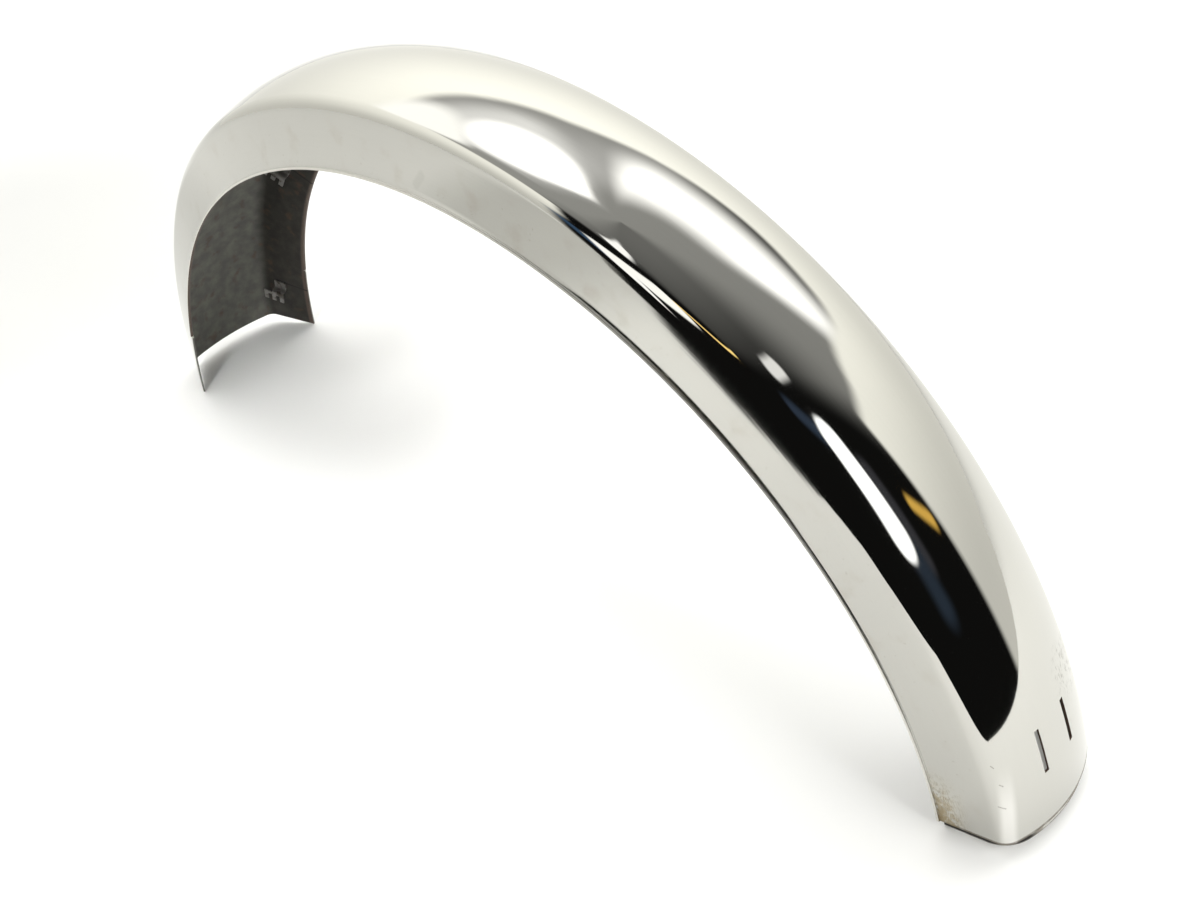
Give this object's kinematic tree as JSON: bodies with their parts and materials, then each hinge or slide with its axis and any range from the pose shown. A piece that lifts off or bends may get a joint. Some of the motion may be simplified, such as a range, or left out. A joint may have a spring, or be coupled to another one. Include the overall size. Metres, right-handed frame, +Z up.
{
  "type": "moped mudguard",
  "caption": "Bright sheet-metal mudguard rolled to the arc of a moped wheel, with an arched crown, flared skirts with turned-out lips, slots at the front end and wire clips inside.",
  "frame": {"origin": "midway between the two ends and the two sides, on the surface that both ends stand on", "axes": "+X to the slotted front end, +Y to the side that carries the wire clips, +Z up"},
  "size_m": [0.599, 0.0912, 0.2541],
  "materials": {
    "bright_sheet": "bright polished outside with light smudges and fine scratches, dull grey-brown inside",
    "strip_steel": "dull bare steel with grime along its edge",
    "clip_steel": "dull grey spring steel"
  },
  "bodies": {
    "root": {"mudguard_blade": "bright_sheet", "front_end_strip": "strip_steel", "rear_wire_clip": "clip_steel", "upper_wire_clip": "clip_steel"}
  },
  "joints": []
}
